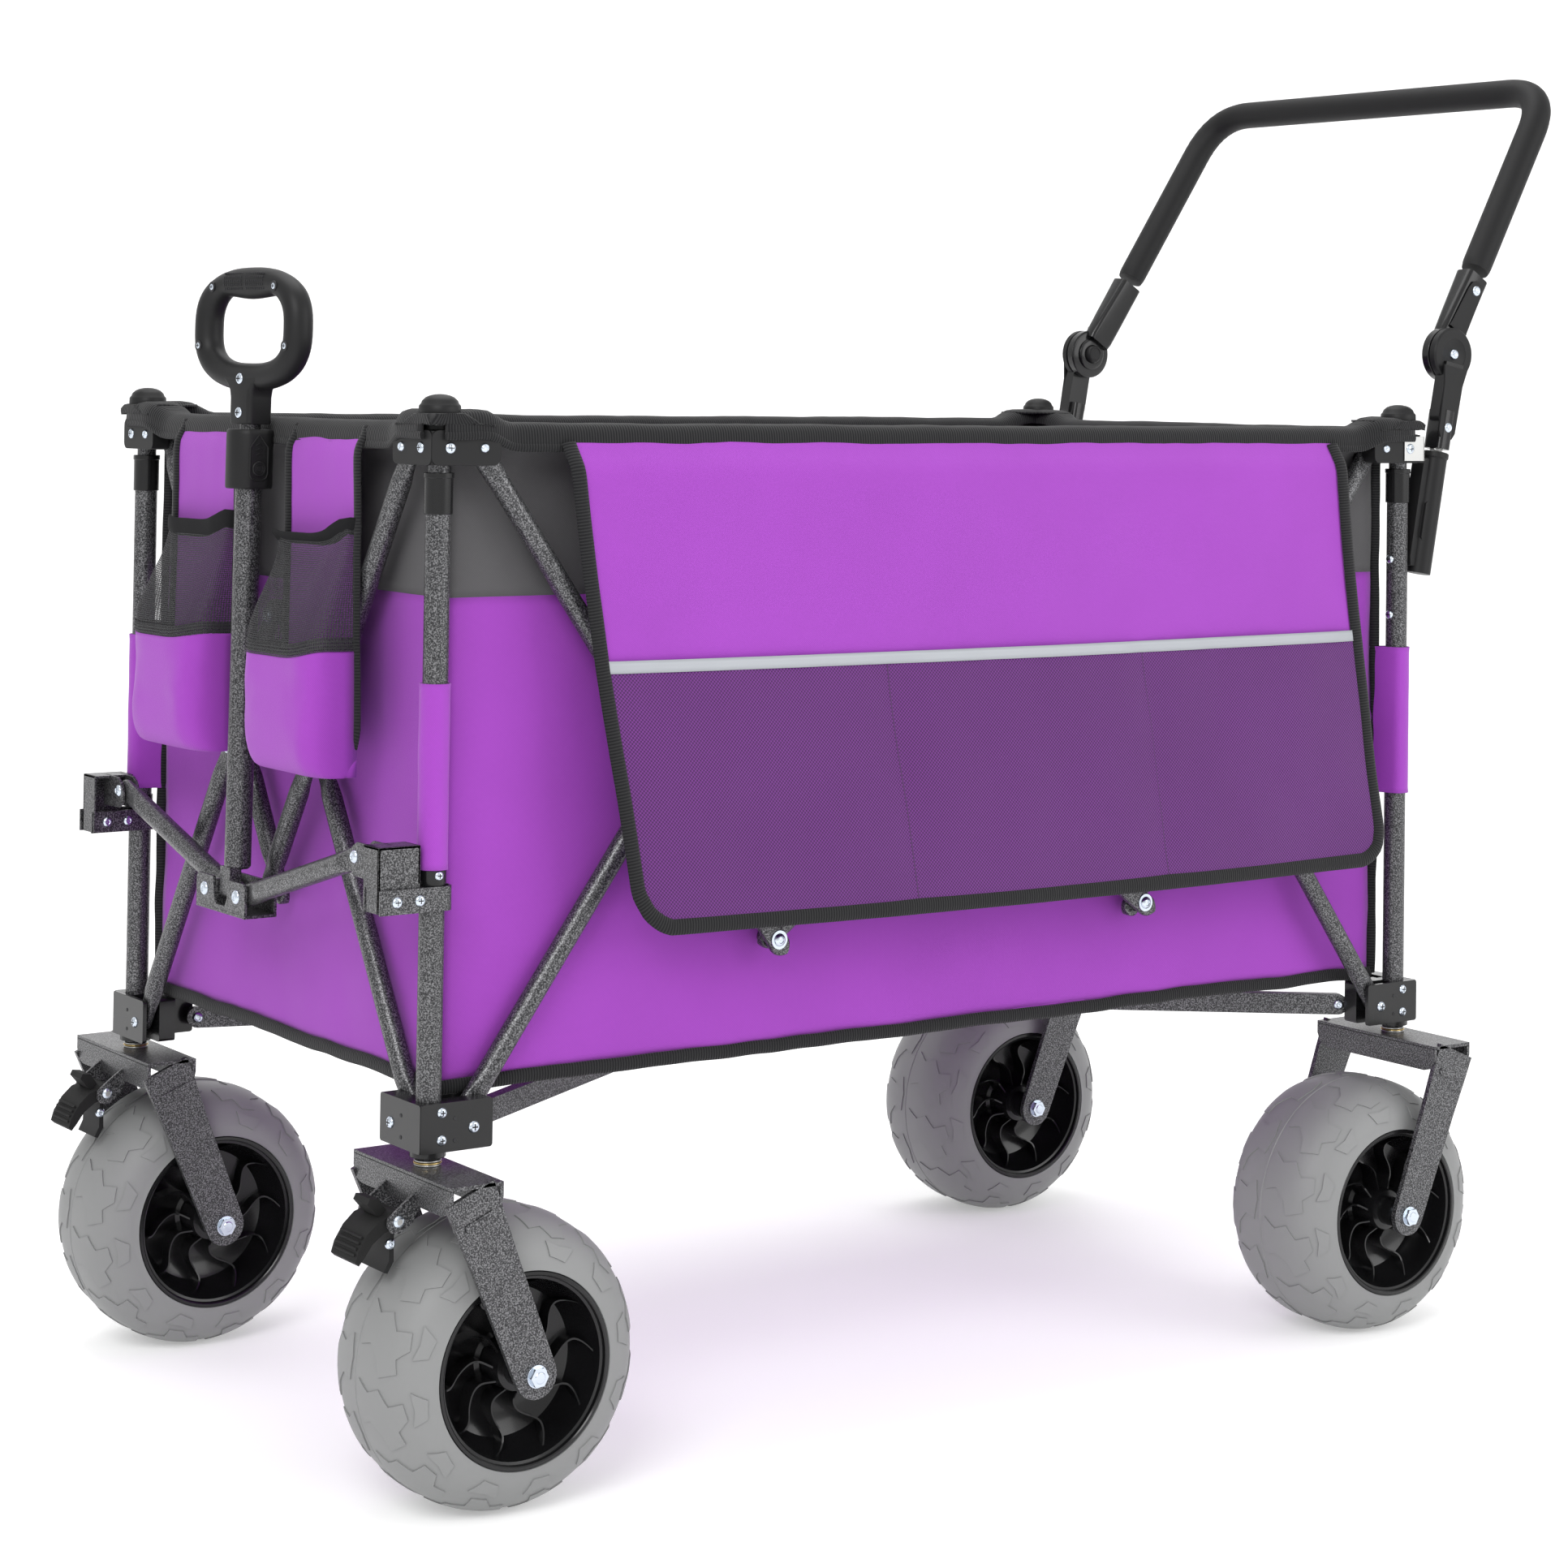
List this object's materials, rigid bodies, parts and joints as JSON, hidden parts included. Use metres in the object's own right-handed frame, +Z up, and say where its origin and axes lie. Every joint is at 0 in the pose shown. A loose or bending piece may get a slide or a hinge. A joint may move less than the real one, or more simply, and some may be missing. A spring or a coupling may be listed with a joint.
{
  "type": "folding wagon",
  "caption": "Folding fabric wagon with scissor sides, telescoping corner legs, swivel balloon wheels, tilting pull handle at the front and hinged push bar at the rear.",
  "frame": {"origin": "floor level, under the middle of the whole wagon with its handles at rest", "axes": "+X from the pull handle to the push handle, +Y from the near long side to the far long side, +Z up"},
  "size_m": [1.2952, 0.666, 1.1305],
  "materials": {
    "hammertone": "grey hammertone powder coat",
    "black_plastic": "moulded black, fine texture",
    "tyre": "smooth grey balloon tyre on a gloss black dish",
    "foam_grip": "black foam sleeve on black tube",
    "purple_fabric": "woven polyester with grey band and black binding"
  },
  "bodies": {
    "frame_nf": {"leg_nf": "hammertone", "corner_nf": "black_plastic", "tub": "purple_fabric", "side_flaps": "purple_fabric", "cup_pockets": "purple_fabric"},
    "frame_ff": {"leg_ff": "hammertone", "corner_ff": "black_plastic"},
    "frame_nr": {"leg_nr": "hammertone", "corner_nr": "black_plastic", "push_posts": "black_plastic"},
    "frame_fr": {"leg_fr": "hammertone", "corner_fr": "black_plastic"},
    "upper_nf": {"post_nf": "black_plastic"},
    "upper_ff": {"post_ff": "black_plastic"},
    "upper_nr": {"post_nr": "black_plastic"},
    "upper_fr": {"post_fr": "black_plastic"},
    "front_upper_near": {"front_upper_near": "hammertone"},
    "front_lower_near": {"front_lower_near": "hammertone"},
    "front_upper_far": {"front_upper_far": "hammertone"},
    "front_lower_far": {"front_lower_far": "hammertone"},
    "rear_upper_near": {"rear_upper_near": "hammertone"},
    "rear_lower_near": {"rear_lower_near": "hammertone"},
    "rear_upper_far": {"rear_upper_far": "hammertone"},
    "rear_lower_far": {"rear_lower_far": "hammertone"},
    "near_upper_front": {"near_upper_front": "hammertone"},
    "near_lower_front": {"near_lower_front": "hammertone"},
    "near_mid_fall": {"near_mid_fall": "hammertone"},
    "near_mid_rise": {"near_mid_rise": "hammertone"},
    "near_upper_rear": {"near_upper_rear": "hammertone"},
    "near_lower_rear": {"near_lower_rear": "hammertone"},
    "far_upper_front": {"far_upper_front": "hammertone"},
    "far_lower_front": {"far_lower_front": "hammertone"},
    "far_mid_fall": {"far_mid_fall": "hammertone"},
    "far_mid_rise": {"far_mid_rise": "hammertone"},
    "far_upper_rear": {"far_upper_rear": "hammertone"},
    "far_lower_rear": {"far_lower_rear": "hammertone"},
    "floor_bar_nf": {"floor_bar_nf": "hammertone"},
    "floor_bar_ff": {"floor_bar_ff": "hammertone"},
    "floor_bar_nr": {"floor_bar_nr": "hammertone"},
    "floor_bar_fr": {"floor_bar_fr": "hammertone"},
    "floor_hub": {"floor_hub": "black_plastic"},
    "fork_nf": {"fork_nf": "hammertone"},
    "fork_ff": {"fork_ff": "hammertone"},
    "fork_nr": {"fork_nr": "hammertone"},
    "fork_fr": {"fork_fr": "hammertone"},
    "wheel_nf": {"wheel_nf": "tyre"},
    "wheel_ff": {"wheel_ff": "tyre"},
    "wheel_nr": {"wheel_nr": "tyre"},
    "wheel_fr": {"wheel_fr": "tyre"},
    "brake_near": {"brake_near": "black_plastic"},
    "brake_far": {"brake_far": "black_plastic"},
    "pull_arm_near": {"pull_arm_near": "hammertone"},
    "pull_arm_far": {"pull_arm_far": "hammertone"},
    "pull_yoke": {"pull_yoke": "hammertone"},
    "pull_tube": {"pull_tube": "hammertone"},
    "pull_grip": {"pull_grip": "black_plastic"},
    "pull_button": {"pull_button": "black_plastic"},
    "push_bar": {"push_bar": "foam_grip"},
    "push_button_near": {"push_button_near": "black_plastic"},
    "push_button_far": {"push_button_far": "black_plastic"}
  },
  "joints": [
    {"name": "fold", "type": "slide", "parent": "frame_nf", "child": "frame_ff", "axis": [0, -1, 0], "range_m": [0, 0.184], "deforming": ["tub", "side_flaps", "cup_pockets"]},
    {"name": "fold_length_near", "type": "slide", "parent": "frame_nf", "child": "frame_nr", "axis": [-1, 0, 0], "range_m": [0, 0.1906]},
    {"name": "fold_length_far", "type": "slide", "parent": "frame_ff", "child": "frame_fr", "axis": [-1, 0, 0], "range_m": [0, 0.1906]},
    {"name": "post_rise_nf", "type": "slide", "parent": "frame_nf", "child": "upper_nf", "axis": [0, 0, 1], "range_m": [0, 0.06083]},
    {"name": "post_rise_ff", "type": "slide", "parent": "frame_ff", "child": "upper_ff", "axis": [0, 0, 1], "range_m": [0, 0.06083]},
    {"name": "post_rise_nr", "type": "slide", "parent": "frame_nr", "child": "upper_nr", "axis": [0, 0, 1], "range_m": [0, 0.06083]},
    {"name": "post_rise_fr", "type": "slide", "parent": "frame_fr", "child": "upper_fr", "axis": [0, 0, 1], "range_m": [0, 0.06083]},
    {"name": "front_lower_near_pivot", "type": "hinge", "parent": "frame_nf", "child": "front_lower_near", "pos_m": [-0.5779, -0.225, 0.282], "axis": [1, 0, 0], "range_deg": [0, 13.9]},
    {"name": "front_upper_near_cross", "type": "hinge", "parent": "front_lower_near", "child": "front_upper_near", "pos_m": [-0.5779, -0.06826, 0.53], "axis": [1, 0, 0], "range_deg": [-27.79, 0]},
    {"name": "front_lower_far_pivot", "type": "hinge", "parent": "frame_ff", "child": "front_lower_far", "pos_m": [-0.5779, 0.225, 0.282], "axis": [1, 0, 0], "range_deg": [-13.9, 0]},
    {"name": "front_upper_far_cross", "type": "hinge", "parent": "front_lower_far", "child": "front_upper_far", "pos_m": [-0.5779, 0.06826, 0.53], "axis": [1, 0, 0], "range_deg": [0, 27.79]},
    {"name": "rear_lower_near_pivot", "type": "hinge", "parent": "frame_nr", "child": "rear_lower_near", "pos_m": [0.4141, -0.225, 0.282], "axis": [1, 0, 0], "range_deg": [0, 13.9]},
    {"name": "rear_upper_near_cross", "type": "hinge", "parent": "rear_lower_near", "child": "rear_upper_near", "pos_m": [0.4141, -0.06826, 0.53], "axis": [1, 0, 0], "range_deg": [-27.79, 0]},
    {"name": "rear_lower_far_pivot", "type": "hinge", "parent": "frame_fr", "child": "rear_lower_far", "pos_m": [0.4141, 0.225, 0.282], "axis": [1, 0, 0], "range_deg": [-13.9, 0]},
    {"name": "rear_upper_far_cross", "type": "hinge", "parent": "rear_lower_far", "child": "rear_upper_far", "pos_m": [0.4141, 0.06826, 0.53], "axis": [1, 0, 0], "range_deg": [0, 27.79]},
    {"name": "near_lower_front_pivot", "type": "hinge", "parent": "frame_nf", "child": "near_lower_front", "pos_m": [-0.5479, -0.255, 0.282], "axis": [0, -1, 0], "range_deg": [0, 11.47]},
    {"name": "near_upper_front_cross", "type": "hinge", "parent": "near_lower_front", "child": "near_upper_front", "pos_m": [-0.37011, -0.255, 0.53], "axis": [0, -1, 0], "range_deg": [-22.93, 0]},
    {"name": "near_lower_rear_pivot", "type": "hinge", "parent": "frame_nr", "child": "near_lower_rear", "pos_m": [0.3841, -0.255, 0.282], "axis": [0, -1, 0], "range_deg": [-11.47, 0]},
    {"name": "near_upper_rear_cross", "type": "hinge", "parent": "near_lower_rear", "child": "near_upper_rear", "pos_m": [0.20631, -0.255, 0.53], "axis": [0, -1, 0], "range_deg": [0, 22.93]},
    {"name": "near_mid_fall_pivot", "type": "hinge", "parent": "near_lower_front", "child": "near_mid_fall", "pos_m": [-0.2719, -0.255, 0.667], "axis": [0, -1, 0], "range_deg": [-16.71, 0]},
    {"name": "near_mid_rise_cross", "type": "hinge", "parent": "near_mid_fall", "child": "near_mid_rise", "pos_m": [-0.0819, -0.255, 0.53], "axis": [0, -1, 0], "range_deg": [0, 10.5]},
    {"name": "far_lower_front_pivot", "type": "hinge", "parent": "frame_ff", "child": "far_lower_front", "pos_m": [-0.5479, 0.255, 0.282], "axis": [0, -1, 0], "range_deg": [0, 11.47]},
    {"name": "far_upper_front_cross", "type": "hinge", "parent": "far_lower_front", "child": "far_upper_front", "pos_m": [-0.37011, 0.255, 0.53], "axis": [0, -1, 0], "range_deg": [-22.93, 0]},
    {"name": "far_lower_rear_pivot", "type": "hinge", "parent": "frame_fr", "child": "far_lower_rear", "pos_m": [0.3841, 0.255, 0.282], "axis": [0, -1, 0], "range_deg": [-11.47, 0]},
    {"name": "far_upper_rear_cross", "type": "hinge", "parent": "far_lower_rear", "child": "far_upper_rear", "pos_m": [0.20631, 0.255, 0.53], "axis": [0, -1, 0], "range_deg": [0, 22.93]},
    {"name": "far_mid_fall_pivot", "type": "hinge", "parent": "far_lower_front", "child": "far_mid_fall", "pos_m": [-0.2719, 0.255, 0.667], "axis": [0, -1, 0], "range_deg": [-16.71, 0]},
    {"name": "far_mid_rise_cross", "type": "hinge", "parent": "far_mid_fall", "child": "far_mid_rise", "pos_m": [-0.0819, 0.255, 0.53], "axis": [0, -1, 0], "range_deg": [0, 10.5]},
    {"name": "floor_bar_nf_pivot", "type": "hinge", "parent": "frame_nf", "child": "floor_bar_nf", "pos_m": [-0.53165, -0.23122, 0.278], "axis": [0.4571, -0.8802, -0.1278], "range_deg": [0, 42.87]},
    {"name": "floor_hub_pivot", "type": "hinge", "parent": "floor_bar_nf", "child": "floor_hub", "pos_m": [-0.1406, -0.03018, 0.292], "axis": [0.4571, -0.8802, -0.1278], "range_deg": [-42.87, 0]},
    {"name": "floor_bar_ff_pivot", "type": "hinge", "parent": "frame_ff", "child": "floor_bar_ff", "pos_m": [-0.53165, 0.23122, 0.278], "axis": [-0.4571, -0.8802, 0.1278], "range_deg": [0, 42.87]},
    {"name": "floor_bar_nr_pivot", "type": "hinge", "parent": "frame_nr", "child": "floor_bar_nr", "pos_m": [0.36785, -0.23122, 0.278], "axis": [0.4571, 0.8802, 0.1278], "range_deg": [0, 42.87]},
    {"name": "floor_bar_fr_pivot", "type": "hinge", "parent": "frame_fr", "child": "floor_bar_fr", "pos_m": [0.36785, 0.23122, 0.278], "axis": [-0.4571, 0.8802, -0.1278], "range_deg": [0, 42.87]},
    {"name": "caster_swivel_nf", "type": "hinge", "parent": "frame_nf", "child": "fork_nf", "pos_m": [-0.5779, -0.255, 0.253], "axis": [0, 0, 1], "continuous": true},
    {"name": "wheel_spin_nf", "type": "hinge", "parent": "fork_nf", "child": "wheel_nf", "pos_m": [-0.5259, -0.255, 0.109], "axis": [0, 1, 0], "continuous": true},
    {"name": "caster_swivel_ff", "type": "hinge", "parent": "frame_ff", "child": "fork_ff", "pos_m": [-0.5779, 0.255, 0.253], "axis": [0, 0, 1], "continuous": true},
    {"name": "wheel_spin_ff", "type": "hinge", "parent": "fork_ff", "child": "wheel_ff", "pos_m": [-0.5259, 0.255, 0.109], "axis": [0, 1, 0], "continuous": true},
    {"name": "caster_swivel_nr", "type": "hinge", "parent": "frame_nr", "child": "fork_nr", "pos_m": [0.4141, -0.255, 0.253], "axis": [0, 0, 1], "continuous": true},
    {"name": "wheel_spin_nr", "type": "hinge", "parent": "fork_nr", "child": "wheel_nr", "pos_m": [0.3621, -0.255, 0.109], "axis": [0, 1, 0], "continuous": true},
    {"name": "caster_swivel_fr", "type": "hinge", "parent": "frame_fr", "child": "fork_fr", "pos_m": [0.4141, 0.255, 0.253], "axis": [0, 0, 1], "continuous": true},
    {"name": "wheel_spin_fr", "type": "hinge", "parent": "fork_fr", "child": "wheel_fr", "pos_m": [0.3621, 0.255, 0.109], "axis": [0, 1, 0], "continuous": true},
    {"name": "brake_near_press", "type": "hinge", "parent": "fork_nf", "child": "brake_near", "pos_m": [-0.6139, -0.255, 0.221], "axis": [0, -1, 0], "range_deg": [0, 10]},
    {"name": "brake_far_press", "type": "hinge", "parent": "fork_ff", "child": "brake_far", "pos_m": [-0.6139, 0.255, 0.221], "axis": [0, -1, 0], "range_deg": [0, 10]},
    {"name": "pull_arm_near_pivot", "type": "hinge", "parent": "frame_nf", "child": "pull_arm_near", "pos_m": [-0.6169, -0.222, 0.477], "axis": [1, 0, 0], "range_deg": [-43.69, 0]},
    {"name": "pull_arm_far_pivot", "type": "hinge", "parent": "frame_ff", "child": "pull_arm_far", "pos_m": [-0.6049, 0.222, 0.477], "axis": [1, 0, 0], "range_deg": [0, 43.69]},
    {"name": "pull_yoke_pivot", "type": "hinge", "parent": "pull_arm_near", "child": "pull_yoke", "pos_m": [-0.6169, -0.028, 0.4215], "axis": [1, 0, 0], "range_deg": [0, 43.69]},
    {"name": "pull_tilt", "type": "hinge", "parent": "pull_yoke", "child": "pull_tube", "pos_m": [-0.6159, 0, 0.4215], "axis": [0, -1, 0], "range_deg": [0, 88]},
    {"name": "pull_extend", "type": "slide", "parent": "pull_tube", "child": "pull_grip", "axis": [0.0122, 0, 0.9999], "range_m": [0, 0.28]},
    {"name": "pull_release", "type": "slide", "parent": "pull_tube", "child": "pull_button", "axis": [0, 1, 0], "range_m": [0, 0.0024], "stiffness_N_per_m": 400},
    {"name": "push_tilt", "type": "hinge", "parent": "frame_nr", "child": "push_bar", "pos_m": [0.4761, 0, 0.864], "axis": [0, 1, 0], "range_deg": [-20, 120]},
    {"name": "push_release_near", "type": "slide", "parent": "push_bar", "child": "push_button_near", "axis": [0, -1, 0], "range_m": [0, 0.003], "stiffness_N_per_m": 400},
    {"name": "push_release_far", "type": "slide", "parent": "push_bar", "child": "push_button_far", "axis": [0, 1, 0], "range_m": [0, 0.003], "stiffness_N_per_m": 400}
  ],
  "couplings": [
    {"joint": "fold_length_near", "follows": "fold", "ratio": 1.0353},
    {"joint": "fold_length_far", "follows": "fold", "ratio": 1.0353},
    {"joint": "post_rise_nf", "follows": "fold", "ratio": 0.33006},
    {"joint": "post_rise_ff", "follows": "fold", "ratio": 0.33006},
    {"joint": "post_rise_nr", "follows": "fold", "ratio": 0.33006},
    {"joint": "post_rise_fr", "follows": "fold", "ratio": 0.33006},
    {"joint": "front_lower_near_pivot", "follows": "fold", "rad_per_m": 1.317},
    {"joint": "front_upper_near_cross", "follows": "fold", "rad_per_m": -2.634},
    {"joint": "front_lower_far_pivot", "follows": "fold", "rad_per_m": -1.317},
    {"joint": "front_upper_far_cross", "follows": "fold", "rad_per_m": 2.634},
    {"joint": "rear_lower_near_pivot", "follows": "fold", "rad_per_m": 1.317},
    {"joint": "rear_upper_near_cross", "follows": "fold", "rad_per_m": -2.634},
    {"joint": "rear_lower_far_pivot", "follows": "fold", "rad_per_m": -1.317},
    {"joint": "rear_upper_far_cross", "follows": "fold", "rad_per_m": 2.634},
    {"joint": "near_lower_front_pivot", "follows": "fold", "rad_per_m": 1.0865},
    {"joint": "near_upper_front_cross", "follows": "fold", "rad_per_m": -2.1729},
    {"joint": "near_lower_rear_pivot", "follows": "fold", "rad_per_m": -1.0865},
    {"joint": "near_upper_rear_cross", "follows": "fold", "rad_per_m": 2.1729},
    {"joint": "near_mid_fall_pivot", "follows": "fold", "rad_per_m": -1.5833},
    {"joint": "near_mid_rise_cross", "follows": "fold", "rad_per_m": 0.99377},
    {"joint": "far_lower_front_pivot", "follows": "fold", "rad_per_m": 1.0865},
    {"joint": "far_upper_front_cross", "follows": "fold", "rad_per_m": -2.1729},
    {"joint": "far_lower_rear_pivot", "follows": "fold", "rad_per_m": -1.0865},
    {"joint": "far_upper_rear_cross", "follows": "fold", "rad_per_m": 2.1729},
    {"joint": "far_mid_fall_pivot", "follows": "fold", "rad_per_m": -1.5833},
    {"joint": "far_mid_rise_cross", "follows": "fold", "rad_per_m": 0.99377},
    {"joint": "floor_bar_nf_pivot", "follows": "fold", "rad_per_m": 4.0644},
    {"joint": "floor_hub_pivot", "follows": "fold", "rad_per_m": -4.0644},
    {"joint": "floor_bar_ff_pivot", "follows": "fold", "rad_per_m": 4.0644},
    {"joint": "floor_bar_nr_pivot", "follows": "fold", "rad_per_m": 4.0644},
    {"joint": "floor_bar_fr_pivot", "follows": "fold", "rad_per_m": 4.0644},
    {"joint": "pull_arm_near_pivot", "follows": "fold", "rad_per_m": -4.1424},
    {"joint": "pull_arm_far_pivot", "follows": "fold", "rad_per_m": 4.1424},
    {"joint": "pull_yoke_pivot", "follows": "fold", "rad_per_m": 4.1424}
  ]
}
